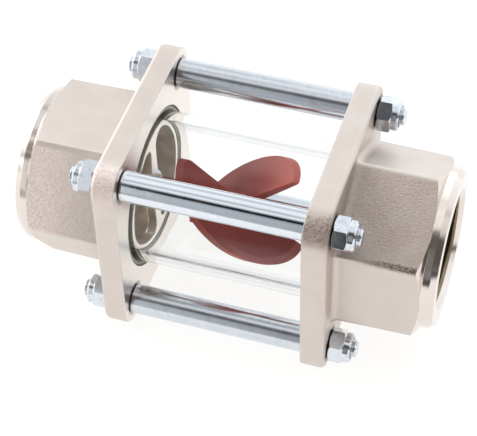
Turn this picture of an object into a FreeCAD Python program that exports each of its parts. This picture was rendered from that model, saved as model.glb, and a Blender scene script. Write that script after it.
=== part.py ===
import FreeCAD, Part
import math
import os

# Flow indicator: two cast pipe housings clamp a glass tube between them, and a rotor turns inside the glass.
# X runs along the flow from inlet to outlet, Y away from the viewer and Z up. All sizes are in mm.

# Glass tube and its seats
glass_diameter = 65.0
glass_wall = 4.2
glass_edge_chamfer = 0.4
seat_depth = 6.0
seat_side_gap = 2.5
gasket_thickness = 2.5
gasket_side_gap = 0.2
boss_gap = 0.4
boss_rim = 1.9

# Housing: flange
housing_gap = 76.0
flange_thickness = 10.2
flange_corner_radius = 10.0
flange_back_round = 2.0
flange_face_chamfer = 0.35
flange_body_fillet = 3.0

# Housing: six-sided body with a turned end
body_length = 40.8
body_wall = 7.85
body_draft = 0.45
body_edge_round = 1.6
end_ring_length = 5.4
end_ring_step = 0.1
end_chamfer_length = 2.5
end_chamfer_drop = 1.5
corner_chamfer_angle = 27.0

# Housing: G 1 1/2 pipe thread, drawn at its major diameter, and the waterway behind it
thread_major_diameter = 47.8
thread_length = 21.0
mouth_diameter = 51.6
throat_step = 2.5
throat_length = 3.0
throat_taper_length = 6.0

# Housing: bar and hub across the bore
web_thickness = 4.0
arm_width_at_rim = 4.8
arm_width_at_hub = 6.8
window_corner_radius = 5.0
hub_radius = 6.5
hub_length = 10.5
hub_nose_chamfer = 2.5
hub_arm_fillet = 4.0

# Tie rods: studs inside spacer sleeves
sleeve_diameter = 12.7
sleeve_chamfer = 0.4
glass_to_sleeve_gap = 9.94
rod_edge_distance = 10.5
stud_diameter = 8.0
stud_tip = 2.0
stud_chamfer = 0.8
stud_hole_clearance = 0.5
sleeve_bore_clearance = 0.2

# Lock nuts with a plastic ring in the collar
nut_across_flats = 13.0
nut_height = 9.6
nut_hex_height = 6.7
nut_face_ratio = 0.87
nut_chamfer_angle = 34.0
nut_collar_radius = 6.35
nut_collar_chamfer = 0.8
nut_lip = 0.5
nut_lip_overhang = 0.5
nut_ring_width = 1.3
nut_ring_thickness = 2.0

# Bearings and axle
axle_diameter = 4.0
axle_end_gap = 0.6
axle_chamfer = 0.3
bearing_clearance = 0.05
bush_wall = 2.0
bush_length = 8.0
bush_collar_width = 1.2
bush_collar_thickness = 1.2
washer_thickness = 0.8
washer_width = 2.3
end_float = 0.3

# Rotor: two flat fan-shaped blades set across the flow
rotor_tip_gap = 5.3
rotor_end_gap = 13.7
rotor_hub_wall = 2.4
blade_root_thickness = 4.0
blade_tip_thickness = 2.0
blade_rest_angle = 11.2
leading_edge_angle = -96.0
trailing_edge_angle = 88.0
leading_tip_round = 2.2
trailing_tip_round = 1.0
blade_count = 2

# Sizes that follow from the ones above
glass_radius = glass_diameter / 2
glass_bore_radius = glass_radius - glass_wall
boss_radius = glass_bore_radius - boss_gap
waterway_radius = boss_radius - boss_rim
seat_radius = glass_radius + seat_side_gap

face_x = housing_gap / 2
seat_x = face_x + seat_depth
glass_end_x = seat_x - gasket_thickness
flange_back_x = face_x + flange_thickness
end_x = flange_back_x + body_length
web_back_x = face_x + web_thickness

sleeve_radius = sleeve_diameter / 2
stud_radius = stud_diameter / 2
rod_offset = (glass_radius + glass_to_sleeve_gap + sleeve_radius) / math.sqrt(2)
flange_side = 2 * (rod_offset + rod_edge_distance)

body_across_flats = 2 * (waterway_radius + body_wall)
body_end_across_flats = body_across_flats - 2 * body_draft
end_ring_radius = body_end_across_flats / 2 + end_ring_step
end_ring_x = end_x - end_ring_length

thread_radius = thread_major_diameter / 2
mouth_radius = mouth_diameter / 2
mouth_depth = mouth_radius - thread_radius
thread_start_x = end_x - mouth_depth
thread_end_x = thread_start_x - thread_length
throat_radius = thread_radius - throat_step
throat_end_x = thread_end_x - throat_length
taper_end_x = throat_end_x - throat_taper_length

axle_radius = axle_diameter / 2
bearing_radius = axle_radius + bearing_clearance
bush_radius = bearing_radius + bush_wall
bush_end_x = face_x + bush_length
bush_face_x = face_x - bush_collar_thickness
axle_end_x = bush_end_x - axle_end_gap
rotor_hub_end_x = bush_face_x - end_float - washer_thickness

rotor_radius = glass_bore_radius - rotor_tip_gap
rotor_half_length = face_x - rotor_end_gap
rotor_hub_radius = axle_radius + rotor_hub_wall

nut_ring_end = nut_height - nut_lip
nut_ring_start = nut_ring_end - nut_ring_thickness
nut_ring_radius = stud_radius + nut_ring_width

# The four rods, numbered front top, back top, front bottom, back bottom
rod_places = [(-rod_offset, rod_offset), (rod_offset, rod_offset),
              (-rod_offset, -rod_offset), (rod_offset, -rod_offset)]
inlet_nut_turns = [5.0, 12.0, 41.0, 26.0]
outlet_nut_turns = [10.0, 38.0, 20.0, 33.0]

origin = FreeCAD.Vector(0, 0, 0)
flow_axis = FreeCAD.Vector(1, 0, 0)
up_axis = FreeCAD.Vector(0, 0, 1)
cut_margin = 1.0
tiny = 0.001


def cylinder(radius, start_x, stop_x, y=0.0, z=0.0):
    return Part.makeCylinder(radius, stop_x - start_x, FreeCAD.Vector(start_x, y, z), flow_axis)


def turned(points):
    outline = Part.makePolygon([FreeCAD.Vector(x, 0, radius) for x, radius in points + points[:1]])
    return Part.Face(outline).revolve(origin, flow_axis, 360)


def ring(inner_radius, outer_radius, start_x, stop_x):
    return turned([(start_x, inner_radius), (start_x, outer_radius),
                   (stop_x, outer_radius), (stop_x, inner_radius)])


def hexagon(across_flats, x, corner_angle=0.0):
    corner_radius = across_flats / math.sqrt(3)
    angles = [math.radians(corner_angle + 60 * corner) for corner in range(6)]
    points = [FreeCAD.Vector(x, corner_radius * math.cos(a), corner_radius * math.sin(a)) for a in angles]
    return Part.makePolygon(points + points[:1])


def distance_from_axis(point):
    return math.hypot(point.y, point.z)


def is_along_x(edge):
    ends = [vertex.Point for vertex in edge.Vertexes]
    return len(ends) == 2 and abs(distance_from_axis(ends[0] - ends[1])) < tiny


def is_at_x(edge, x):
    return all(abs(vertex.X - x) < tiny for vertex in edge.Vertexes)


def first_radius(edge):
    return distance_from_axis(edge.Vertexes[0].Point)


def flange():
    corner = FreeCAD.Vector(face_x, -flange_side / 2, -flange_side / 2)
    plate = Part.makeBox(flange_thickness, flange_side, flange_side, corner)
    plate = plate.makeFillet(flange_corner_radius, [edge for edge in plate.Edges if is_along_x(edge)])
    back_edges = [edge for edge in plate.Edges if is_at_x(edge, flange_back_x)]
    plate = plate.makeFillet(flange_back_round, back_edges)
    face_edges = [edge for edge in plate.Edges if is_at_x(edge, face_x)]
    return plate.makeChamfer(flange_face_chamfer, face_edges)


# The cast hexagon narrows towards the end, where its corners are turned down to the end ring
def hexagonal_body():
    corner_angle = 30.0
    prism = Part.makeLoft([hexagon(body_across_flats, flange_back_x, corner_angle),
                           hexagon(body_end_across_flats, end_ring_x, corner_angle)], True, True)
    long_edges = [edge for edge in prism.Edges
                  if not is_at_x(edge, flange_back_x) and not is_at_x(edge, end_ring_x)]
    prism = prism.makeFillet(body_edge_round, long_edges)
    blank_radius = body_across_flats
    cone_length = (blank_radius - end_ring_radius) * math.tan(math.radians(corner_chamfer_angle))
    envelope = turned([(flange_back_x, 0), (flange_back_x, blank_radius),
                       (end_ring_x - cone_length, blank_radius),
                       (end_ring_x, end_ring_radius), (end_ring_x, 0)])
    return prism.common(envelope)


def end_ring():
    return turned([(end_ring_x, 0), (end_ring_x, end_ring_radius),
                   (end_x - end_chamfer_length, end_ring_radius),
                   (end_x, end_ring_radius - end_chamfer_drop), (end_x, 0)])


def waterway():
    return turned([(web_back_x, 0), (web_back_x, waterway_radius), (taper_end_x, waterway_radius),
                   (throat_end_x, throat_radius), (thread_end_x, throat_radius),
                   (thread_end_x, thread_radius), (thread_start_x, thread_radius),
                   (end_x + cut_margin, mouth_radius + cut_margin), (end_x + cut_margin, 0)])


# The arms run along Y from the hub to the rim, and narrow on the way out
def arms():
    hub_half = arm_width_at_hub / 2
    rim_half = arm_width_at_rim / 2
    start_x = face_x - 2 * cut_margin
    sides = [(-waterway_radius, -rim_half), (0, -hub_half), (waterway_radius, -rim_half),
             (waterway_radius, rim_half), (0, hub_half), (-waterway_radius, rim_half)]
    outline = Part.makePolygon([FreeCAD.Vector(start_x, y, z) for y, z in sides + sides[:1]])
    return Part.Face(outline).extrude(flow_axis * (web_thickness + 4 * cut_margin))


def windows():
    opening = cylinder(waterway_radius, face_x - cut_margin, web_back_x + cut_margin)
    hub_core = cylinder(hub_radius, face_x - 2 * cut_margin, web_back_x + 2 * cut_margin)
    opening = opening.cut([arms(), hub_core])
    rim_corners = [edge for edge in opening.Edges
                   if is_along_x(edge) and first_radius(edge) > waterway_radius - tiny]
    opening = opening.makeFillet(window_corner_radius, rim_corners)
    hub_corners = [edge for edge in opening.Edges
                   if is_along_x(edge) and first_radius(edge) < hub_radius + tiny]
    return opening.makeFillet(hub_arm_fillet, hub_corners)


def hub():
    nose_x = face_x + hub_length
    return turned([(face_x, 0), (face_x, hub_radius), (nose_x - hub_nose_chamfer, hub_radius),
                   (nose_x, hub_radius - hub_nose_chamfer), (nose_x, 0)])


def stud_holes():
    hole_radius = stud_radius + stud_hole_clearance
    return [cylinder(hole_radius, face_x - cut_margin, flange_back_x + cut_margin, y, z)
            for y, z in rod_places]


# One casting, drawn at the outlet: its arms lie along Y and its flats face Y
def casting():
    body = flange().fuse([hexagonal_body(), end_ring()]).removeSplitter()
    inner_edge_limit = body_across_flats / math.sqrt(3) + tiny
    joint = [edge for edge in body.Edges if is_at_x(edge, flange_back_x)
             and all(distance_from_axis(vertex.Point) < inner_edge_limit for vertex in edge.Vertexes)]
    body = body.makeFillet(flange_body_fillet, joint)
    body = body.cut([waterway(), windows()])
    body = body.cut(ring(boss_radius, seat_radius, face_x - cut_margin, seat_x))
    body = body.fuse(hub())
    body = body.cut(cylinder(bush_radius, face_x - cut_margin, bush_end_x))
    return body.cut(stud_holes()).removeSplitter()


# Turns a piece drawn at the outlet round to the inlet end
def at_inlet(shape):
    turned_round = shape.copy()
    turned_round.rotate(origin, up_axis, 180)
    return turned_round


def glass_tube():
    chamfer = glass_edge_chamfer
    return turned([(-glass_end_x, glass_bore_radius + chamfer), (-glass_end_x, glass_radius - chamfer),
                   (-glass_end_x + chamfer, glass_radius), (glass_end_x - chamfer, glass_radius),
                   (glass_end_x, glass_radius - chamfer), (glass_end_x, glass_bore_radius + chamfer),
                   (glass_end_x - chamfer, glass_bore_radius), (-glass_end_x + chamfer, glass_bore_radius)])


def gasket():
    return ring(boss_radius + gasket_side_gap, seat_radius - gasket_side_gap, glass_end_x, seat_x)


def spacer_sleeve(y, z):
    bore = stud_radius + sleeve_bore_clearance
    sleeve = turned([(-face_x, bore), (-face_x, sleeve_radius - sleeve_chamfer),
                     (-face_x + sleeve_chamfer, sleeve_radius), (face_x - sleeve_chamfer, sleeve_radius),
                     (face_x, sleeve_radius - sleeve_chamfer), (face_x, bore)])
    sleeve.translate(FreeCAD.Vector(0, y, z))
    return sleeve


def tie_stud(y, z):
    tip_x = flange_back_x + nut_height + stud_tip
    stud = turned([(-tip_x, 0), (-tip_x, stud_radius - stud_chamfer), (-tip_x + stud_chamfer, stud_radius),
                   (tip_x - stud_chamfer, stud_radius), (tip_x, stud_radius - stud_chamfer), (tip_x, 0)])
    stud.translate(FreeCAD.Vector(0, y, z))
    return stud


# The nut stands on x = 0 with its collar away from the flange
def lock_nut():
    blank_radius = nut_across_flats
    slope = math.tan(math.radians(nut_chamfer_angle))
    face_radius = nut_face_ratio * nut_across_flats / 2
    prism = Part.Face(hexagon(nut_across_flats, 0)).extrude(flow_axis * nut_hex_height)
    lower = turned([(0, 0), (0, face_radius), (slope * (blank_radius - face_radius), blank_radius),
                    (nut_height, blank_radius), (nut_height, 0)])
    upper = turned([(-slope * blank_radius, 0), (-slope * blank_radius, blank_radius),
                    (nut_hex_height - slope * (blank_radius - nut_collar_radius), blank_radius),
                    (nut_hex_height, nut_collar_radius), (nut_hex_height, 0)])
    collar = turned([(cut_margin, 0), (cut_margin, nut_collar_radius),
                     (nut_height - nut_collar_chamfer, nut_collar_radius),
                     (nut_height, nut_collar_radius - nut_collar_chamfer), (nut_height, 0)])
    body = prism.common(lower).common(upper).fuse(collar).removeSplitter()
    body = body.cut(cylinder(stud_radius, -cut_margin, nut_height + cut_margin))
    body = body.cut(cylinder(nut_ring_radius, nut_ring_start, nut_ring_end))
    mouth_radius = nut_ring_radius - nut_lip_overhang
    return body.cut(cylinder(mouth_radius, nut_ring_start, nut_height + cut_margin))


def nut_ring():
    return ring(stud_radius, nut_ring_radius, nut_ring_start, nut_ring_end)


def on_stud(shape, turn, y, z):
    placed = shape.copy()
    placed.rotate(origin, flow_axis, turn)
    placed.translate(FreeCAD.Vector(flange_back_x, y, z))
    return placed


def bush():
    collar_radius = bush_radius + bush_collar_width
    return turned([(bush_face_x, bearing_radius), (bush_face_x, collar_radius), (face_x, collar_radius),
                   (face_x, bush_radius), (bush_end_x, bush_radius), (bush_end_x, bearing_radius)])


def thrust_washer():
    washer_end_x = rotor_hub_end_x + washer_thickness
    return ring(axle_radius, axle_radius + washer_width, rotor_hub_end_x, washer_end_x)


def rotor_axle():
    return turned([(-axle_end_x, 0), (-axle_end_x, axle_radius - axle_chamfer),
                   (-axle_end_x + axle_chamfer, axle_radius), (axle_end_x - axle_chamfer, axle_radius),
                   (axle_end_x, axle_radius - axle_chamfer), (axle_end_x, 0)])


# The blade's outline seen along the flow axis: a slice of the rotor's cylinder with rounded tips
def blade_sector(length):
    far = 2 * rotor_radius
    middle_angle = (leading_edge_angle + trailing_edge_angle) / 2
    rays = [leading_edge_angle, (leading_edge_angle + middle_angle) / 2, middle_angle,
            (trailing_edge_angle + middle_angle) / 2, trailing_edge_angle]
    angles = [math.radians(ray) for ray in rays]
    corners = [FreeCAD.Vector(-length, far * math.cos(a), far * math.sin(a)) for a in angles]
    corners = [FreeCAD.Vector(-length, 0, 0)] + corners
    fan = Part.Face(Part.makePolygon(corners + corners[:1])).extrude(flow_axis * 2 * length)
    sector = cylinder(rotor_radius, -length, length).common(fan)
    sector = sector.makeFillet(leading_tip_round, tip_edges(sector, leading_edge_angle))
    return sector.makeFillet(trailing_tip_round, tip_edges(sector, trailing_edge_angle))


def tip_edges(sector, angle):
    corner = FreeCAD.Vector(0, math.cos(math.radians(angle)), math.sin(math.radians(angle))) * rotor_radius
    return [edge for edge in sector.Edges
            if all(distance_from_axis(vertex.Point - corner) < tiny for vertex in edge.Vertexes)]


# A blade is a flat plate that leans over the flow axis and thins from the hub outwards
def blade():
    reach = math.hypot(rotor_half_length, rotor_radius)
    blank_radius = 1.2 * reach
    root_half = blade_root_thickness / 2
    tip_half = blade_tip_thickness / 2
    blank_half = root_half + (tip_half - root_half) * blank_radius / reach
    section = [(0, -root_half), (blank_radius, -blank_half), (blank_radius, blank_half), (0, root_half)]
    outline = Part.makePolygon([FreeCAD.Vector(out, 0, height) for out, height in section + section[:1]])
    plate = Part.Face(outline).revolve(origin, up_axis, 360)
    normal = FreeCAD.Vector(rotor_radius, 0, -rotor_half_length)
    plate.Placement = FreeCAD.Placement(origin, FreeCAD.Rotation(up_axis, normal))
    return plate.common(blade_sector(2 * reach))


def rotor():
    pieces = []
    for number in range(blade_count):
        piece = blade()
        piece.rotate(origin, flow_axis, blade_rest_angle + 360 * number / blade_count)
        pieces.append(piece)
    body = cylinder(rotor_hub_radius, -rotor_hub_end_x, rotor_hub_end_x).fuse(pieces)
    bore = cylinder(axle_radius, -rotor_hub_end_x - cut_margin, rotor_hub_end_x + cut_margin)
    return body.cut(bore).removeSplitter()


def save(shape, name):
    shape.exportStep("parts/" + name + ".step")


outlet_casting = casting()
inlet_casting = at_inlet(outlet_casting)
inlet_casting.rotate(origin, flow_axis, 90)
save(outlet_casting, "outlet_housing")
save(inlet_casting, "inlet_housing")
save(glass_tube(), "glass_tube")
save(gasket(), "outlet_gasket")
save(at_inlet(gasket()), "inlet_gasket")
save(bush(), "outlet_bush")
save(at_inlet(bush()), "inlet_bush")
save(thrust_washer(), "outlet_thrust_washer")
save(at_inlet(thrust_washer()), "inlet_thrust_washer")
save(rotor_axle(), "rotor_axle")
save(rotor(), "rotor")

for number, (rod_y, rod_z) in enumerate(rod_places, start=1):
    save(spacer_sleeve(rod_y, rod_z), "spacer_sleeve_%d" % number)
    save(tie_stud(rod_y, rod_z), "tie_stud_%d" % number)
    outlet_turn = outlet_nut_turns[number - 1]
    inlet_turn = inlet_nut_turns[number - 1]
    save(on_stud(lock_nut(), outlet_turn, rod_y, rod_z), "outlet_nut_%d" % number)
    save(on_stud(nut_ring(), outlet_turn, rod_y, rod_z), "outlet_nut_ring_%d" % number)
    save(at_inlet(on_stud(lock_nut(), inlet_turn, -rod_y, rod_z)), "inlet_nut_%d" % number)
    save(at_inlet(on_stud(nut_ring(), inlet_turn, -rod_y, rod_z)), "inlet_nut_ring_%d" % number)
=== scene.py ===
import math

import bpy
from mathutils import Matrix, Vector


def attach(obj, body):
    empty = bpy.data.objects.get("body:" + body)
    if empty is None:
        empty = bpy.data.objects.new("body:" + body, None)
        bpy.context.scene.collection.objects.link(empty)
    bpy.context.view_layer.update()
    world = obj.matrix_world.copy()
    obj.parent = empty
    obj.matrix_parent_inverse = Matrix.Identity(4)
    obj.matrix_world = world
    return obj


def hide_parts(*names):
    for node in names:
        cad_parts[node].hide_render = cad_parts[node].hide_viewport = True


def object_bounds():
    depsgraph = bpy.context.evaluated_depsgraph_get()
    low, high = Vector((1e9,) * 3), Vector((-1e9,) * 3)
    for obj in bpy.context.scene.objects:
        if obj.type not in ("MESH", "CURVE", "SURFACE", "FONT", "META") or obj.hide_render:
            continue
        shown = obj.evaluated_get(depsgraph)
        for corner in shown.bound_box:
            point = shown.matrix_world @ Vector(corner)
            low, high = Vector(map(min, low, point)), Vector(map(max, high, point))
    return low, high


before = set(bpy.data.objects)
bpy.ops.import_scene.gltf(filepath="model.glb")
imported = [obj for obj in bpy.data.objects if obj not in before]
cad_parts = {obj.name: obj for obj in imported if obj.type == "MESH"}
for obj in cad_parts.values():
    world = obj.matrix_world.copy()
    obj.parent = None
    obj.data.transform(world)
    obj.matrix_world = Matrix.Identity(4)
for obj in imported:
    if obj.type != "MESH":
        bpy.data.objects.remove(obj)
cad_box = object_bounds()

# The indicator's own sizes, in metres
MM = 0.001
FLANGE_FACE_X = 38.0 * MM
FLANGE_BACK_X = 48.2 * MM
END_X = 89.0 * MM
END_RING_X = 83.6 * MM
END_RING_RADIUS = 33.5 * MM
CORNER_CONE_SLOPE = math.tan(math.radians(27.0))
BOSS_RADIUS = 27.9 * MM
SEAT_X = 44.0 * MM
SEAT_RADIUS = 35.0 * MM

GLASS_HALF_LENGTH = 41.5 * MM
GLASS_RADIUS = 32.5 * MM
GLASS_BORE_RADIUS = 28.3 * MM
GLASS_CHAMFER = 0.4 * MM

GASKET_BORE_RADIUS = 28.1 * MM
GASKET_LIP_DEPTH = 0.6 * MM
GASKET_LIP_CHAMFER = 0.3 * MM
GASKET_SIDE_GAP = 0.05 * MM
GASKET_PALE_RADIUS = (GLASS_RADIUS + 0.75 * MM, GLASS_RADIUS + 1.65 * MM)
GASKET_PALE_SOFTNESS = 0.2 * MM

ROD_OFFSET = 34.5 * MM
STUD_RADIUS = 4.0 * MM
STUD_PITCH = 1.25 * MM
STUD_THREAD_DEPTH = 0.72 * MM
STUD_CREST_SHARE = 0.12
STUD_FLANK_SHARE = 0.7
STUD_CHAMFER = 0.8 * MM
STUD_END_X = 59.8 * MM
STUD_THREAD_LENGTH = 14.0 * MM
STUD_THREAD_RUN_OUT = 0.5 * MM

PIPE_THREAD_RADIUS = 23.9 * MM
PIPE_THREAD_PITCH = 2.309 * MM
PIPE_THREAD_DEPTH = 1.45 * MM
PIPE_THREAD_LENGTH = 20.8 * MM
PIPE_THREAD_RUN_IN = 1.4 * MM
PIPE_THREAD_BACKING = 0.05 * MM
PIPE_MOUTH_DEPTH = 1.9 * MM

# Sides of a full turn, steps along one pitch of a thread, and the least angle of a sharp edge in degrees
RING_SIDES = 720
STUD_SIDES = 40
STUD_STEPS = 8
PIPE_THREAD_SIDES = 96
PIPE_THREAD_STEPS = 10
RING_SHARP_ANGLE = 30.0
THREAD_SHARP_ANGLE = 50.0

# Finishes of the castings: each pair tells where one begins and where it is full, along X or by radius
TURNED_FROM_RING = (-0.12 * MM, -0.02 * MM)
TURNED_RADIUS = (END_RING_RADIUS - 8.0 * MM, END_RING_RADIUS - 7.9 * MM)
TURNED_END_X = (END_RING_X, END_RING_X + 0.1 * MM)
MACHINED_X = (FLANGE_FACE_X + 0.25 * MM, FLANGE_FACE_X + 0.1 * MM)
BORED_RADIUS = (BOSS_RADIUS + 0.5 * MM, BOSS_RADIUS)
INNER_WALL_RADIUS = (BOSS_RADIUS - 0.9 * MM, BOSS_RADIUS - 1.3 * MM)

# Bands of the castings: each pair is the two sides of one
GROOVE_RADIUS = (BOSS_RADIUS, BOSS_RADIUS + 6.2 * MM)
GROOVE_X = (FLANGE_FACE_X + 0.2 * MM, FLANGE_BACK_X - 2.0 * MM)
GROOVE_SOFTNESS = 0.1 * MM
# The nut seat band is painted contact shade, with some dirt, round the nuts on the flanges
NUT_SEAT_RADIUS = (5.0 * MM, 7.7 * MM)
NUT_SEAT_SOFTNESS = 0.5 * MM

# Rough skin of the castings; its turn angles are in degrees round the flow axis, 0 to the front and 90 up
SKIN_EDGE_TURN = (28.5, 33.0)
SKIN_EDGE_SOFTNESS = 1.5
SKIN_EDGE_X = (50.0 * MM, 76.0 * MM)
SKIN_CORNER_TURN = (38.0, 51.0)
SKIN_CORNER_SOFTNESS = 4.0
SKIN_CORNER_RADIUS = (50.0 * MM, 55.0 * MM)
SKIN_BODY_RADIUS = (44.0 * MM, 42.0 * MM)
SKIN_INLET_TURN = (0.0, 57.0)
SKIN_OUTLET_TURN = (30.0, 88.0)
SKIN_INLET_END_X = (-54.0 * MM, -80.0 * MM)

# Cosines between the rounded and the flat normal, on a face and on a sharp edge
FACE_COSINE = 0.995
SHARP_EDGE_COSINE = 0.85

# Where painted contact shade begins and where it is full, along X: at the sleeves' ends, under the
# nuts, and past the part's end for metal that has none
SLEEVE_SHADE_X = (FLANGE_FACE_X - 0.7 * MM, FLANGE_FACE_X - 0.25 * MM)
NUT_SHADE_X = (FLANGE_BACK_X + 0.6 * MM, FLANGE_BACK_X + 0.2 * MM)
NO_SHADE_X = (END_X, END_X + 1.0 * MM)

# Where the rotor is painted pale with painted light and sheen
UPSTREAM_SHEEN_RADIUS = (10.0 * MM, 23.0 * MM)
DOWNSTREAM_SHEEN_RADIUS = (19.4 * MM, 20.6 * MM)
DOWNSTREAM_SHEEN_X = (-3.0 * MM, 6.0 * MM)

# Camera, found by fitting the flanges and the rods to the photograph
CAMERA_AZIMUTH = math.radians(18.79)
CAMERA_ELEVATION = math.radians(47.24)
CAMERA_ROLL = math.radians(-1.69)
CAMERA_DISTANCE = 0.6809
CAMERA_RIGHT = -0.00168
CAMERA_UP = -0.00581
CAMERA_LENS = 122.55

# Strips of the tent, from the inlet's end past the rods and the outlet's nuts to the outlet's end. Each mark
# is a turn angle in degrees, a brightness, and how far it leans to blue.
LEFT_STRIP = [(-180, 1.05, 0.0), (-60, 0.95, 0.0), (-17, 0.86, 0.0), (-14, 0.40, -0.05), (-8, 0.40, -0.05),
              (-5, 0.80, 0.0), (46, 0.78, 0.0), (48, 0.20, -0.05), (54, 0.20, -0.05), (56, 0.62, -0.02),
              (58, 0.30, -0.08), (73, 0.30, -0.08), (75, 0.82, 0.0), (79, 0.80, 0.0), (81, 0.42, -0.06),
              (90, 0.42, -0.06), (94, 0.80, 0.02), (126, 0.76, 0.02), (129, 0.50, -0.02), (134, 0.50, -0.02),
              (137, 0.76, 0.02), (180, 0.92, 0.03)]
MIDDLE_STRIP = [(-180, 1.10, 0.01), (-64, 1.0, 0.01), (-22, 0.88, 0.02), (-15, 0.44, 0.06), (28, 0.50, 0.05),
                (38, 0.40, 0.04), (43, 0.34, 0.04), (44, 0.01, 0.1), (61, 0.02, 0.1), (62.5, 0.42, 0.03),
                (68, 0.62, 0.02), (76, 1.0, 0.01), (82, 0.92, 0.01), (87, 0.50, 0.01), (96, 0.62, 0.02),
                (106, 0.98, 0.02), (122, 0.98, 0.02), (131, 0.66, 0.01), (147, 0.68, 0.01), (158, 1.0, 0.02),
                (180, 1.10, 0.02)]
NUT_STRIP = [(-180, 1.25, 0.01), (-60, 1.15, 0.01), (-24, 1.05, 0.01), (-18, 0.04, 0.1), (0, 0.04, 0.1),
             (8, 0.30, 0.05), (40, 0.25, 0.05), (45, 0.08, 0.1), (62, 0.10, 0.1), (72, 0.80, 0.02),
             (96, 0.95, 0.02), (101, 0.60, 0.03), (107, 1.0, 0.02), (130, 1.02, 0.02), (180, 1.15, 0.02)]
RIGHT_STRIP = [(-180, 1.75, 0.05), (-60, 1.20, 0.0), (-12, 1.05, 0.0), (-2, 0.30, -0.05), (10, 0.15, -0.10),
               (66, 0.15, -0.10), (74, 1.1, -0.01), (100, 1.35, 0.0), (112, 1.0, 0.0), (124, 1.5, 0.02),
               (180, 1.75, 0.05)]

# Where a strip takes over from the one before it, by the X part of the direction
LEFT_STRIP_EDGE = (-0.285, -0.305)
NUT_STRIP_EDGE = (-0.170, -0.158)
RIGHT_STRIP_EDGE = (-0.135, -0.115)

# Fades of the tent's brightness, over its length and at the inlet's end: each goes from one X part of the
# direction to another, and from one brightness to another
TENT_LENGTH_FADE = (-1.0, 0.7, 1.40, 0.72)
TENT_INLET_FADE = (-0.8, -0.45, 1.45, 1.0)

# The floor: its half size in metres, its glow, and where and how far its mirror image darkens in front
FLOOR_REACH = 8.0
FLOOR_GLOW = 0.88
FLOOR_FRONT_Y = (-0.36, -0.22)
FLOOR_FRONT_SHADE = 0.45
LENS_SIDE_SLOPE = 0.165
LENS_SIDE_X = (0.040, 0.048)
LENS_SIDE_Y = (-0.27, -0.33)
LENS_SIDE_SHADE = 0.05


def rgb(red, green, blue):
    return red, green, blue, 1.0


def new_material(name):
    made = bpy.data.materials.new(name)
    made.use_nodes = True
    tree = made.node_tree
    tree.nodes.clear()
    return made, tree


def put(tree, socket, value):
    if isinstance(value, bpy.types.NodeSocket):
        tree.links.new(value, socket)
    else:
        socket.default_value = value


def add(tree, kind, settings=None, **inputs):
    made = tree.nodes.new("ShaderNode" + kind)
    for name, value in (settings or {}).items():
        setattr(made, name, value)
    for name, value in inputs.items():
        put(tree, made.inputs[name.replace("_", " ")], value)
    return made


def calc(tree, operation, first, second=0.0):
    made = add(tree, "Math", {"operation": operation})
    put(tree, made.inputs[0], first)
    put(tree, made.inputs[1], second)
    return made.outputs[0]


def times(tree, first, *others):
    result = first
    for other in others:
        result = calc(tree, "MULTIPLY", result, other)
    return result


def highest(tree, first, *others):
    result = first
    for other in others:
        result = calc(tree, "MAXIMUM", result, other)
    return result


def opposite(tree, share):
    return calc(tree, "SUBTRACT", 1.0, share)


def step_up(tree, value, low, high, to_low=0.0, to_high=1.0):
    made = add(tree, "MapRange", {"interpolation_type": "SMOOTHSTEP"}, Value=value,
               From_Min=low, From_Max=high, To_Min=to_low, To_Max=to_high)
    return made.outputs["Result"]


# 1 between two values and 0 outside them, with soft ends
def between(tree, value, low, high, soft):
    above = step_up(tree, value, low - soft, low + soft)
    return times(tree, above, step_up(tree, value, high + soft, high - soft))


def between_turns(tree, turn, turns, soft):
    return between(tree, turn, math.radians(turns[0]), math.radians(turns[1]), math.radians(soft))


def blend(tree, share, first, second):
    made = add(tree, "Mix", {"data_type": "RGBA"})
    put(tree, made.inputs[0], share)
    put(tree, made.inputs[6], first)
    put(tree, made.inputs[7], second)
    return made.outputs[2]


def blend_value(tree, share, first, second):
    made = add(tree, "Mix", {"data_type": "FLOAT"})
    put(tree, made.inputs[0], share)
    put(tree, made.inputs[2], first)
    put(tree, made.inputs[3], second)
    return made.outputs[0]


def noise(tree, place, scale, detail, roughness, distortion=0.0):
    made = add(tree, "TexNoise", Vector=place, Scale=scale, Detail=detail, Roughness=roughness,
               Distortion=distortion)
    return made.outputs[0]


# Noise with a scale of its own along each axis
def stretched_noise(tree, place, scales, detail, roughness, distortion=0.0):
    scaled = add(tree, "Mapping", Vector=place, Scale=scales).outputs[0]
    return noise(tree, scaled, 1.0, detail, roughness, distortion)


def bump(tree, height, distance, strength, normal=None):
    made = add(tree, "Bump", Height=height, Distance=distance, Strength=strength)
    if normal is not None:
        tree.links.new(normal, made.inputs["Normal"])
    return made.outputs[0]


def object_place(tree):
    return add(tree, "TexCoord").outputs["Object"]


def parts_of(tree, vector):
    return add(tree, "SeparateXYZ", Vector=vector).outputs


# The X part of the object's own normal
def facing_along(tree):
    return parts_of(tree, add(tree, "TexCoord").outputs["Normal"])[0]


def length_of(tree, first, second):
    return calc(tree, "SQRT", calc(tree, "ADD", times(tree, first, first), times(tree, second, second)))


def from_axis(tree, place):
    parts = parts_of(tree, place)
    return length_of(tree, parts[1], parts[2])


# The distance along X from the middle of the glass
def from_middle(tree, place):
    return calc(tree, "ABSOLUTE", parts_of(tree, place)[0])


def from_nearest_rod(tree, place):
    parts = parts_of(tree, place)
    offset_y = calc(tree, "SUBTRACT", calc(tree, "ABSOLUTE", parts[1]), ROD_OFFSET)
    offset_z = calc(tree, "SUBTRACT", calc(tree, "ABSOLUTE", parts[2]), ROD_OFFSET)
    return length_of(tree, offset_y, offset_z)


# The angle round the X axis in radians, 0 to the front and a quarter of a turn upwards
def turn_angle(tree, parts):
    return calc(tree, "ARCTAN2", parts[2], times(tree, parts[1], -1.0))


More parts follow.
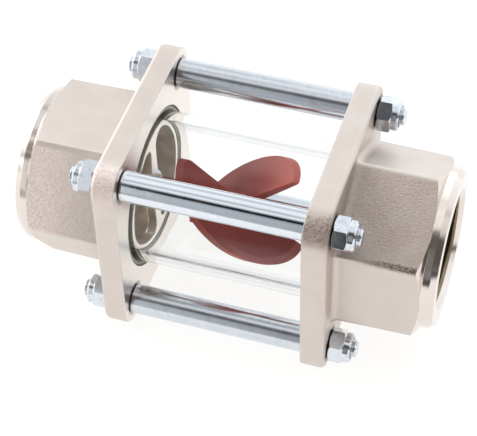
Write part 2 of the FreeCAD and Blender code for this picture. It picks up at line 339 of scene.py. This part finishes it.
# How far the rounded normal turns from the flat one, 0 on a face and 1 on a sharp edge, and the rounded one
def sharp_edge_share(tree, radius):
    rounded = add(tree, "Bevel", {"samples": 6}, Radius=radius).outputs[0]
    flat = add(tree, "NewGeometry").outputs["Normal"]
    made = add(tree, "VectorMath", {"operation": "DOT_PRODUCT"})
    put(tree, made.inputs[0], rounded)
    put(tree, made.inputs[1], flat)
    return step_up(tree, made.outputs["Value"], FACE_COSINE, SHARP_EDGE_COSINE), rounded


def principled(tree, **inputs):
    shader = add(tree, "BsdfPrincipled", **inputs)
    output = add(tree, "OutputMaterial")
    tree.links.new(shader.outputs[0], output.inputs[0])


# Where a casting is turned at its end, machined on its face, walled inside, smooth by any cut, and grooved
def casting_zones(tree, place):
    across = from_axis(tree, place)
    along = from_middle(tree, place)
    cone = times(tree, calc(tree, "SUBTRACT", across, END_RING_RADIUS), CORNER_CONE_SLOPE)
    from_ring = calc(tree, "SUBTRACT", calc(tree, "ADD", along, cone), END_RING_X)
    on_cone = times(tree, step_up(tree, from_ring, *TURNED_FROM_RING), step_up(tree, across, *TURNED_RADIUS))
    turned = highest(tree, on_cone, step_up(tree, along, *TURNED_END_X))
    machined = step_up(tree, along, *MACHINED_X)
    bored = step_up(tree, across, *BORED_RADIUS)
    sideways = step_up(tree, calc(tree, "ABSOLUTE", facing_along(tree)), 0.6, 0.4)
    inner = times(tree, sideways, step_up(tree, across, *INNER_WALL_RADIUS))
    smooth = highest(tree, times(tree, bored, 0.6), machined, turned)
    groove = times(tree, between(tree, across, *GROOVE_RADIUS, GROOVE_SOFTNESS),
                   between(tree, along, *GROOVE_X, GROOVE_SOFTNESS))
    return turned, machined, inner, smooth, groove


# The rough skin of the castings: along the outlet's lower front edge, on both flanges' front top corners,
# and faintly on the front flats. The other results are where the inlet is painted pale as a painted
# highlight, on that corner and toward the end of its front flat, and 1 on the outlet's side.
def rough_skin(tree, place):
    parts = parts_of(tree, place)
    across = from_axis(tree, place)
    turn = turn_angle(tree, parts)
    outlet = step_up(tree, parts[0], -1.0 * MM, 1.0 * MM)
    low_edge = times(tree, between_turns(tree, turn, SKIN_EDGE_TURN, SKIN_EDGE_SOFTNESS),
                     step_up(tree, parts[0], *SKIN_EDGE_X))
    corner = times(tree, step_up(tree, across, *SKIN_CORNER_RADIUS),
                   between_turns(tree, turn, SKIN_CORNER_TURN, SKIN_CORNER_SOFTNESS), 0.7)
    low, high = [blend_value(tree, outlet, math.radians(on_inlet), math.radians(on_outlet))
                 for on_inlet, on_outlet in zip(SKIN_INLET_TURN, SKIN_OUTLET_TURN)]
    flat = times(tree, calc(tree, "GREATER_THAN", turn, low), calc(tree, "LESS_THAN", turn, high),
                 step_up(tree, across, *SKIN_BODY_RADIUS), 0.28)
    end_flat = times(tree, flat, step_up(tree, parts[0], *SKIN_INLET_END_X, 0.0, 2.6))
    inlet_highlight = times(tree, highest(tree, corner, end_flat), opposite(tree, outlet))
    return highest(tree, low_edge, corner, flat), inlet_highlight, outlet


# Blasted nickel-plated casting with turned ends and machined inner faces
def cast_nickel():
    made, tree = new_material("cast_nickel")
    place = object_place(tree)
    turned, machined, inner, smooth, groove = casting_zones(tree, place)
    cast = opposite(tree, smooth)
    skin, inlet_highlight, outlet = rough_skin(tree, place)
    skin = times(tree, skin, cast)
    # Painted contact shade, with some dirt: a dark ring round each nut seat on the flanges
    contact_shade = between(tree, from_nearest_rod(tree, place), *NUT_SEAT_RADIUS, NUT_SEAT_SOFTNESS)
    edge_wear_and_light, rounded = sharp_edge_share(tree, 0.5 * MM)

    grain = noise(tree, place, scale=2600.0, detail=2.0, roughness=0.6)
    pits = noise(tree, place, scale=1100.0, detail=3.0, roughness=0.65)
    waves = noise(tree, place, scale=90.0, detail=2.0, roughness=0.5)
    stains = noise(tree, place, scale=75.0, detail=2.0, roughness=0.5)
    patches = noise(tree, place, scale=55.0, detail=3.0, roughness=0.6)
    holes = stretched_noise(tree, place, (900.0, 1500.0, 1500.0), detail=4.0, roughness=0.7)
    folds = stretched_noise(tree, place, (420.0, 260.0, 260.0), detail=3.0, roughness=0.6, distortion=2.2)
    pocks = step_up(tree, holes, 0.42, 0.62)
    wrinkles = step_up(tree, calc(tree, "ABSOLUTE", calc(tree, "SUBTRACT", folds, 0.5)), 0.0, 0.05)
    blush = times(tree, skin, step_up(tree, patches, 0.40, 0.60))
    speckle = times(tree, step_up(tree, pits, 0.62, 0.72), cast)
    tarnish = blend(tree, step_up(tree, stains, 0.40, 0.60), rgb(0.54, 0.49, 0.39), rgb(0.86, 0.745, 0.65))

    tone = blend(tree, waves, rgb(0.665, 0.59, 0.54), rgb(0.75, 0.685, 0.64))
    tone = blend(tree, times(tree, blush, 2.6), tone, rgb(0.66, 0.545, 0.495))
    tone = blend(tree, times(tree, skin, outlet, 0.75), tone, rgb(0.50, 0.42, 0.38))
    tone = blend(tree, times(tree, skin, skin, pocks, 1.3), tone, rgb(0.17, 0.125, 0.105))
    # Painted highlight: the inlet's corner and the end of its front flat are painted nearly white
    tone = blend(tree, times(tree, inlet_highlight, 1.3), tone, rgb(0.97, 0.855, 0.80))
    tone = blend(tree, times(tree, inlet_highlight, pocks, 0.55), tone, rgb(0.60, 0.47, 0.42))
    tone = blend(tree, times(tree, speckle, 0.22), tone, rgb(0.42, 0.345, 0.30))
    tone = blend(tree, smooth, tone, rgb(0.85, 0.785, 0.735))
    tone = blend(tree, turned, tone, rgb(0.78, 0.705, 0.66))
    tone = blend(tree, times(tree, inner, 0.85), tone, tarnish)
    tone = blend(tree, groove, tone, rgb(0.66, 0.65, 0.54))
    tone = blend(tree, times(tree, contact_shade, 0.6), tone, rgb(0.20, 0.17, 0.15))
    # Pale edges: partly worn plating and partly a painted highlight along the edges
    tone = blend(tree, times(tree, edge_wear_and_light, 0.8), tone, rgb(0.94, 0.89, 0.85))

    matt = blend_value(tree, skin, 0.46, 0.58)
    matt = blend_value(tree, machined, matt, 0.30)
    matt = blend_value(tree, inner, matt, 0.40)
    matt = blend_value(tree, turned, matt, 0.13)
    matt = blend_value(tree, times(tree, edge_wear_and_light, 0.6), matt, 0.22)

    turning = add(tree, "TexWave", {"wave_type": "BANDS", "bands_direction": "X"}, Vector=place,
                  Scale=520.0, Distortion=1.0, Detail=1.0).outputs[1]
    height = calc(tree, "ADD", times(tree, grain, 0.5), times(tree, pits, 0.9))
    height = times(tree, height, blend_value(tree, skin, 0.35, 1.9), cast)
    relief = bump(tree, waves, 0.6 * MM, 0.25, rounded)
    relief = bump(tree, height, 0.26 * MM, 1.0, relief)
    relief = bump(tree, times(tree, pocks, skin), 0.12 * MM, 0.9, relief)
    relief = bump(tree, times(tree, wrinkles, skin), 0.14 * MM, 0.55, relief)
    relief = bump(tree, times(tree, turning, highest(tree, turned, inner)), 0.01 * MM, 0.5, relief)
    principled(tree, Base_Color=tone, Metallic=opposite(tree, groove), Roughness=matt, Normal=relief)
    return made


# Thread cut through the plating, tarnished to a dull gold-brown
def bore_metal():
    made, tree = new_material("bore_metal")
    place = object_place(tree)
    clouds = noise(tree, place, scale=120.0, detail=3.0, roughness=0.6)
    grain = noise(tree, place, scale=1800.0, detail=2.0, roughness=0.5)
    edge_wear_and_light, rounded = sharp_edge_share(tree, 0.3 * MM)
    tone = blend(tree, clouds, rgb(0.12, 0.088, 0.055), rgb(0.38, 0.30, 0.195))
    tone = blend(tree, times(tree, edge_wear_and_light, 0.5), tone, rgb(0.62, 0.54, 0.42))
    matt = blend_value(tree, clouds, 0.30, 0.42)
    relief = bump(tree, grain, 0.03 * MM, 0.4, rounded)
    principled(tree, Base_Color=tone, Metallic=1.0, Roughness=matt, Normal=relief)
    return made


# Bright zinc plating darkened by painted contact shade over a stretch of X; drawn metal carries faint lines
# along X
def zinc_plate(name, shade, gloss, drawn, blotch, contact_shade_x):
    made, tree = new_material(name)
    place = object_place(tree)
    clouds = noise(tree, place, scale=160.0, detail=3.0, roughness=0.6)
    specks = noise(tree, place, scale=700.0, detail=2.0, roughness=0.5)
    blots = noise(tree, place, scale=420.0, detail=3.0, roughness=0.6)
    contact_shade = step_up(tree, from_middle(tree, place), *contact_shade_x)
    edge_wear_and_light, rounded = sharp_edge_share(tree, 0.35 * MM)
    tone = blend(tree, clouds, rgb(0.70 * shade, 0.745 * shade, 0.80 * shade),
                 rgb(0.82 * shade, 0.86 * shade, 0.91 * shade))
    tone = blend(tree, times(tree, step_up(tree, specks, 0.66, 0.74), 0.25), tone, rgb(0.45, 0.47, 0.5))
    tone = blend(tree, times(tree, step_up(tree, blots, 0.48, 0.68), blotch), tone, rgb(0.34, 0.38, 0.44))
    tone = blend(tree, times(tree, edge_wear_and_light, 0.5), tone, rgb(0.93, 0.95, 0.97))
    # Painted contact shade: near black where the sleeves meet the flanges and where the nuts sit on them
    tone = blend(tree, times(tree, contact_shade, 0.85), tone, rgb(0.05, 0.045, 0.04))
    matt = blend_value(tree, clouds, gloss, gloss + 0.09)
    relief = bump(tree, clouds, 0.12 * MM, 0.2, rounded)
    if drawn:
        lines = stretched_noise(tree, place, (30.0, 900.0, 900.0), detail=2.0, roughness=0.55)
        relief = bump(tree, lines, 0.03 * MM, 0.30, relief)
    principled(tree, Base_Color=tone, Metallic=1.0, Roughness=matt, Normal=relief)
    return made


# Moulded red plastic. Painted light and sheen make the upstream faces pale toward their rims, and the
# downstream faces only in a band along the downstream half of the rim.
def rotor_red():
    made, tree = new_material("rotor_red")
    place = object_place(tree)
    across = from_axis(tree, place)
    clouds = noise(tree, place, scale=60.0, detail=3.0, roughness=0.55)
    grain = noise(tree, place, scale=1500.0, detail=2.0, roughness=0.5)
    scratches = stretched_noise(tree, place, (120.0, 900.0, 1500.0), detail=2.0, roughness=0.6)
    cloudy_across = calc(tree, "ADD", across, times(tree, clouds, 4.0 * MM))
    upstream_sheen = step_up(tree, cloudy_across, *UPSTREAM_SHEEN_RADIUS)
    downstream_sheen = times(tree, step_up(tree, across, *DOWNSTREAM_SHEEN_RADIUS),
                       step_up(tree, parts_of(tree, place)[0], *DOWNSTREAM_SHEEN_X, 0.0, 0.85))
    painted_sheen = blend_value(tree, step_up(tree, facing_along(tree), -0.1, 0.1), upstream_sheen, downstream_sheen)
    dust = step_up(tree, scratches, 0.6, 0.75)
    edge_wear_and_light, rounded = sharp_edge_share(tree, 0.6 * MM)
    tone = blend(tree, clouds, rgb(0.255, 0.016, 0.009), rgb(0.35, 0.026, 0.015))
    # Painted light and sheen: pale on the upstream faces toward their rims and in a band on the downstream
    # faces
    tone = blend(tree, painted_sheen, tone, rgb(0.50, 0.105, 0.082))
    # Painted light: the blade rims are bright orange-red as if lit through the thin plastic
    tone = blend(tree, times(tree, edge_wear_and_light, 0.85), tone, rgb(0.92, 0.12, 0.045))
    tone = blend(tree, times(tree, dust, 0.08), tone, rgb(0.7, 0.42, 0.38))
    matt = blend_value(tree, clouds, 0.42, 0.54)
    relief = bump(tree, grain, 0.03 * MM, 0.35, rounded)
    principled(tree, Base_Color=tone, Roughness=matt, Normal=relief, Specular_IOR_Level=0.3,
               Subsurface_Weight=0.12, Subsurface_Radius=(0.0022, 0.0006, 0.0004), Subsurface_Scale=1.0)
    return made


# Plastic that is paler in clouds and on its edges
def plain_plastic(name, dark, pale):
    made, tree = new_material(name)
    place = object_place(tree)
    clouds = noise(tree, place, scale=300.0, detail=3.0, roughness=0.6)
    grain = noise(tree, place, scale=2400.0, detail=2.0, roughness=0.5)
    edge_wear_and_light, rounded = sharp_edge_share(tree, 0.2 * MM)
    tone = blend(tree, clouds, dark, pale)
    tone = blend(tree, times(tree, edge_wear_and_light, 0.3), tone, pale)
    matt = blend_value(tree, clouds, 0.35, 0.47)
    relief = bump(tree, grain, 0.03 * MM, 0.4, rounded)
    principled(tree, Base_Color=tone, Roughness=matt, Normal=relief)
    return made


# Dark olive rubber with a paler ring on its lip
def gasket_rubber():
    made, tree = new_material("gasket_rubber")
    place = object_place(tree)
    clouds = noise(tree, place, scale=300.0, detail=3.0, roughness=0.6)
    grain = noise(tree, place, scale=2400.0, detail=2.0, roughness=0.5)
    pale_ring = between(tree, from_axis(tree, place), *GASKET_PALE_RADIUS, GASKET_PALE_SOFTNESS)
    tone = blend(tree, clouds, rgb(0.14, 0.138, 0.108), rgb(0.23, 0.225, 0.178))
    tone = blend(tree, pale_ring, tone, rgb(0.50, 0.485, 0.385))
    matt = blend_value(tree, clouds, 0.45, 0.6)
    relief = bump(tree, grain, 0.03 * MM, 0.4)
    principled(tree, Base_Color=tone, Roughness=matt, Normal=relief)
    return made


# Clear drawn glass that lets light through to what it shades
def sight_glass():
    made, tree = new_material("sight_glass")
    place = object_place(tree)
    draw_lines = stretched_noise(tree, place, (4.0, 120.0, 120.0), detail=1.0, roughness=0.4)
    relief = bump(tree, draw_lines, 0.02 * MM, 0.03)
    glass = add(tree, "BsdfPrincipled", Base_Color=rgb(0.985, 0.995, 0.99), Roughness=0.0, IOR=1.47,
                Transmission_Weight=1.0, Specular_Tint=rgb(0.55, 0.56, 0.56), Normal=relief)
    clear = add(tree, "BsdfTransparent", Color=rgb(0.97, 0.98, 0.975))
    light = add(tree, "LightPath")
    mixed = add(tree, "MixShader")
    tree.links.new(light.outputs["Is Shadow Ray"], mixed.inputs[0])
    tree.links.new(glass.outputs[0], mixed.inputs[1])
    tree.links.new(clear.outputs[0], mixed.inputs[2])
    output = add(tree, "OutputMaterial")
    tree.links.new(mixed.outputs[0], output.inputs[0])
    return made


def dress(names, finish):
    for name in names:
        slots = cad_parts[name].data.materials
        slots.clear()
        slots.append(finish)


def new_object(name, verts, faces):
    mesh = bpy.data.meshes.new(name)
    mesh.from_pydata(verts, [], faces)
    mesh.update()
    made = bpy.data.objects.new(name, mesh)
    bpy.context.scene.collection.objects.link(made)
    return made


def smooth_sides(obj, sharp_angle):
    obj.data.shade_smooth()
    obj.data.set_sharp_from_angle(angle=math.radians(sharp_angle))


# The points of rows of (x, radius at a turn angle) round an axis along X
def row_points(rows, sides, y=0.0, z=0.0):
    points = []
    for x, radius in rows:
        for side in range(sides):
            angle = 2 * math.pi * side / sides
            r = radius(angle)
            points.append((x, y + r * math.cos(angle), z + r * math.sin(angle)))
    return points


def join_rows(first_row, second_row, sides):
    faces = []
    for side in range(sides):
        beside = (side + 1) % sides
        faces.append((first_row * sides + side, first_row * sides + beside,
                      second_row * sides + beside, second_row * sides + side))
    return faces


# A closed ring from rows that go round its section
def ring_mesh(name, rows, sides, sharp_angle):
    faces = []
    for row in range(len(rows)):
        faces += join_rows(row, (row + 1) % len(rows), sides)
    made = new_object(name, row_points(rows, sides), faces)
    smooth_sides(made, sharp_angle)
    return made


# A row with one radius all round
def round_row(x, radius):
    return x, lambda angle: radius


# The tube of the CAD model with finer sides, so that nothing seen through it is broken up
def clear_tube():
    inner = GLASS_BORE_RADIUS
    outer = GLASS_RADIUS
    end = GLASS_HALF_LENGTH
    cut = GLASS_CHAMFER
    section = [(-end, inner + cut), (-end, outer - cut), (-end + cut, outer), (end - cut, outer),
               (end, outer - cut), (end, inner + cut), (end - cut, inner), (-end + cut, inner)]
    rows = [round_row(x, radius) for x, radius in section]
    return ring_mesh("clear_tube", rows, RING_SIDES, RING_SHARP_ANGLE)


# The gasket with the soft lip that fills the gap beside the glass nearly up to the flange's face
def lipped_gasket(name, direction):
    foot = GLASS_HALF_LENGTH
    lip_in = GLASS_RADIUS + GASKET_SIDE_GAP
    lip_out = SEAT_RADIUS - GASKET_SIDE_GAP
    lip_top = FLANGE_FACE_X + GASKET_LIP_DEPTH
    cut = GASKET_LIP_CHAMFER
    section = [(foot, GASKET_BORE_RADIUS), (foot, lip_in), (lip_top + cut, lip_in), (lip_top, lip_in + cut),
               (lip_top, lip_out - cut), (lip_top + cut, lip_out), (SEAT_X, lip_out),
               (SEAT_X, GASKET_BORE_RADIUS)]
    if direction < 0:
        section = [(-x, radius) for x, radius in reversed(section)]
    rows = [round_row(x, radius) for x, radius in section]
    return ring_mesh(name, rows, RING_SIDES, RING_SHARP_ANGLE)


# The share of a stud thread's depth taken away at a place along its pitch, flat on the crest and in the root
def thread_cut(turn):
    slope = 2.0 * abs(turn - math.floor(turn + 0.5))
    return min(1.0, max(0.0, (slope - STUD_CREST_SHARE) / STUD_FLANK_SHARE))


def stud_thread_row(x):
    from_end = STUD_END_X - abs(x)
    crest = min(STUD_RADIUS, STUD_RADIUS - STUD_CHAMFER + from_end)

    def radius(angle):
        cut = thread_cut(x / STUD_PITCH - angle / (2 * math.pi))
        return min(crest, STUD_RADIUS - STUD_THREAD_DEPTH * cut)
    return x, radius


def stud_thread_rows(start_x):
    count = int(STUD_THREAD_LENGTH / STUD_PITCH * STUD_STEPS)
    return [stud_thread_row(start_x + STUD_THREAD_LENGTH * i / count) for i in range(count + 1)]


# A stud with a thread and a flat disc at each end, and a thinner shank between the threads
def threaded_stud(number, y, z):
    thread_start = STUD_END_X - STUD_THREAD_LENGTH
    shank_end = thread_start - STUD_THREAD_RUN_OUT
    shank_radius = STUD_RADIUS - STUD_THREAD_DEPTH
    shank = [round_row(-shank_end, shank_radius), round_row(shank_end, shank_radius)]
    rows = stud_thread_rows(-STUD_END_X) + shank + stud_thread_rows(thread_start)
    faces = []
    for row in range(len(rows) - 1):
        faces += join_rows(row, row + 1, STUD_SIDES)
    faces.append(tuple(reversed(range(STUD_SIDES))))
    faces.append(tuple(range((len(rows) - 1) * STUD_SIDES, len(rows) * STUD_SIDES)))
    made = new_object("threaded_stud_%d" % number, row_points(rows, STUD_SIDES, y, z), faces)
    smooth_sides(made, THREAD_SHARP_ANGLE)
    return made


# The pipe thread is a ring of ridges that lines the bore of one housing
def pipe_thread(name, direction):
    mouth = END_X - PIPE_MOUTH_DEPTH
    back_radius = PIPE_THREAD_RADIUS + PIPE_THREAD_BACKING

    def ridge_row(depth):
        x = direction * (mouth - depth)
        run_in = min(1.0, depth / PIPE_THREAD_RUN_IN)

        def radius(angle):
            turn = x / PIPE_THREAD_PITCH - angle / (2 * math.pi)
            ridge = (0.5 - 0.5 * math.cos(2 * math.pi * turn)) * run_in
            return PIPE_THREAD_RADIUS - PIPE_THREAD_DEPTH * ridge
        return x, radius

    count = int(PIPE_THREAD_LENGTH / PIPE_THREAD_PITCH * PIPE_THREAD_STEPS)
    rows = [ridge_row(PIPE_THREAD_LENGTH * i / count) for i in range(count + 1)]
    rows.append(round_row(direction * (mouth - PIPE_THREAD_LENGTH), back_radius))
    rows.append(round_row(direction * mouth, back_radius))
    if direction > 0:
        rows.reverse()
    return ring_mesh(name, rows, PIPE_THREAD_SIDES, THREAD_SHARP_ANGLE)


def set_camera():
    back = Vector((math.sin(CAMERA_AZIMUTH) * math.cos(CAMERA_ELEVATION),
                   -math.cos(CAMERA_AZIMUTH) * math.cos(CAMERA_ELEVATION), math.sin(CAMERA_ELEVATION)))
    right = (-back).cross(Vector((0, 0, 1))).normalized()
    up = right.cross(-back)
    right_rolled = right * math.cos(CAMERA_ROLL) + up * math.sin(CAMERA_ROLL)
    up_rolled = up * math.cos(CAMERA_ROLL) - right * math.sin(CAMERA_ROLL)
    place = back * CAMERA_DISTANCE + right_rolled * CAMERA_RIGHT + up_rolled * CAMERA_UP
    data = bpy.data.cameras.new("camera")
    data.lens = CAMERA_LENS
    data.sensor_width = 36.0
    data.clip_start = 0.01
    data.clip_end = 50.0
    camera = bpy.data.objects.new("camera", data)
    bpy.context.scene.collection.objects.link(camera)
    turn = Matrix((right_rolled, up_rolled, back)).transposed()
    camera.matrix_world = Matrix.Translation(place) @ turn.to_4x4()
    bpy.context.scene.camera = camera


# One strip of the studio tent: its colour by the share of a full turn round the X axis
def tent_strip(tree, share, levels):
    ramp = add(tree, "ValToRGB", Fac=share)
    marks = ramp.color_ramp.elements
    while len(marks) < len(levels):
        marks.new(0.5)
    for mark, (angle, level, blue) in zip(marks, levels):
        mark.position = (angle + 180.0) / 360.0
        mark.color = rgb(level * (1.0 - blue), level, level * (1.0 + blue))
    return ramp.outputs[0]


# A pale studio tent with dark gaps, brighter toward the inlet's end
def set_world():
    world = bpy.data.worlds.new("studio")
    bpy.context.scene.world = world
    world.use_nodes = True
    tree = world.node_tree
    tree.nodes.clear()
    parts = parts_of(tree, add(tree, "TexCoord").outputs["Generated"])
    share = calc(tree, "DIVIDE", calc(tree, "ADD", turn_angle(tree, parts), math.pi), 2 * math.pi)
    tent = tent_strip(tree, share, MIDDLE_STRIP)
    for edge, levels in ((LEFT_STRIP_EDGE, LEFT_STRIP), (NUT_STRIP_EDGE, NUT_STRIP),
                         (RIGHT_STRIP_EDGE, RIGHT_STRIP)):
        tent = blend(tree, step_up(tree, parts[0], *edge), tent, tent_strip(tree, share, levels))
    brightness = times(tree, step_up(tree, parts[0], *TENT_LENGTH_FADE),
                       step_up(tree, parts[0], *TENT_INLET_FADE))
    back = add(tree, "Background", Color=tent, Strength=brightness)
    output = add(tree, "OutputWorld")
    tree.links.new(back.outputs[0], output.inputs[0])


def set_light(name, place, aim, size, power):
    data = bpy.data.lights.new(name, "AREA")
    data.shape = "SQUARE"
    data.size = size
    data.energy = power
    lamp = bpy.data.objects.new(name, data)
    bpy.context.scene.collection.objects.link(lamp)
    lamp.location = place
    lamp.rotation_mode = "QUATERNION"
    lamp.rotation_quaternion = (Vector(aim) - Vector(place)).to_track_quat("-Z", "Y")
    lamp.visible_camera = False


# Glowing white paper. Metal mirrors it darker in front, and darkest in a wedge at the front right.
def floor_paper():
    made, tree = new_material("floor")
    place = object_place(tree)
    parts = parts_of(tree, place)
    wedge = calc(tree, "SUBTRACT", parts[0], times(tree, parts[1], LENS_SIDE_SLOPE))
    lens_side = times(tree, step_up(tree, wedge, *LENS_SIDE_X), step_up(tree, parts[1], *LENS_SIDE_Y))
    front = times(tree, step_up(tree, parts[1], *FLOOR_FRONT_Y, FLOOR_FRONT_SHADE, 1.0),
                  blend_value(tree, lens_side, 1.0, LENS_SIDE_SHADE))
    mirrored = add(tree, "LightPath").outputs["Is Glossy Ray"]
    bright = blend_value(tree, mirrored, 1.0, front)
    clouds = noise(tree, place, scale=0.8, detail=1.0, roughness=0.5)
    paper = blend(tree, clouds, rgb(0.20, 0.20, 0.20), rgb(0.22, 0.22, 0.22))
    principled(tree, Base_Color=blend(tree, bright, rgb(0.0, 0.0, 0.0), paper), Roughness=0.9,
               Emission_Color=rgb(1.0, 0.995, 0.985), Emission_Strength=times(tree, bright, FLOOR_GLOW))
    return made


def set_floor():
    low = cad_box[0][2]
    corners = [(-FLOOR_REACH, -FLOOR_REACH, low), (FLOOR_REACH, -FLOOR_REACH, low),
               (FLOOR_REACH, FLOOR_REACH, low), (-FLOOR_REACH, FLOOR_REACH, low)]
    floor = new_object("floor", corners, [(0, 1, 2, 3)])
    floor.data.materials.append(floor_paper())


def corners_of(word):
    return [word % number for number in (1, 2, 3, 4)]


cast = cast_nickel()
bore = bore_metal()
glass = sight_glass()
rubber = gasket_rubber()
nut_zinc = zinc_plate("nut_zinc", shade=0.97, gloss=0.07, drawn=False, blotch=0.3, contact_shade_x=NUT_SHADE_X)
dress(["inlet_housing", "outlet_housing"], cast)
dress(["glass_tube"], glass)
dress(["inlet_gasket", "outlet_gasket"], rubber)
dress(["spacer_sleeve_1"],
      zinc_plate("sleeve_zinc", shade=1.0, gloss=0.05, drawn=True, blotch=0.0, contact_shade_x=SLEEVE_SHADE_X))
# The other three sleeves take a darker, rougher copy of the sleeve zinc; its darker tone is painted shade
dress(["spacer_sleeve_2", "spacer_sleeve_3", "spacer_sleeve_4"],
      zinc_plate("shaded_sleeve_zinc", shade=0.90, gloss=0.17, drawn=True, blotch=0.12, contact_shade_x=SLEEVE_SHADE_X))
dress(corners_of("inlet_nut_%d") + corners_of("outlet_nut_%d"), nut_zinc)
dress(corners_of("inlet_nut_ring_%d") + corners_of("outlet_nut_ring_%d"),
      plain_plastic("nut_nylon", dark=rgb(0.42, 0.45, 0.50), pale=rgb(0.62, 0.65, 0.70)))
dress(["rotor"], rotor_red())
dress(["rotor_axle"],
      zinc_plate("axle_steel", shade=1.0, gloss=0.16, drawn=True, blotch=0.0, contact_shade_x=NO_SHADE_X))
dress(["inlet_bush", "outlet_bush", "inlet_thrust_washer", "outlet_thrust_washer"],
      plain_plastic("bearing_plastic", dark=rgb(0.62, 0.60, 0.55), pale=rgb(0.74, 0.72, 0.67)))

rod_places = [(-ROD_OFFSET, ROD_OFFSET), (ROD_OFFSET, ROD_OFFSET), (-ROD_OFFSET, -ROD_OFFSET),
              (ROD_OFFSET, -ROD_OFFSET)]
for number, (rod_y, rod_z) in enumerate(rod_places, start=1):
    stud = threaded_stud(number, rod_y, rod_z)
    stud.data.materials.append(nut_zinc)
    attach(stud, "housing")
    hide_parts("tie_stud_%d" % number)

tube = clear_tube()
tube.data.materials.append(glass)
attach(tube, "housing")
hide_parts("glass_tube")

for name, direction in (("inlet", -1), ("outlet", 1)):
    gasket = lipped_gasket(name + "_lipped_gasket", direction)
    gasket.data.materials.append(rubber)
    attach(gasket, "housing")
    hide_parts(name + "_gasket")

for name, direction in (("inlet_pipe_thread", -1), ("outlet_pipe_thread", 1)):
    thread = pipe_thread(name, direction)
    thread.data.materials.append(bore)
    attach(thread, "housing")

set_camera()
set_world()
set_floor()
set_light("left_softbox", place=(-1.35, 0.25, 0.85), aim=(0, 0, 0), size=1.0, power=9.0)
bpy.context.scene.view_settings.view_transform = "Standard"
bpy.context.scene.view_settings.look = "None"
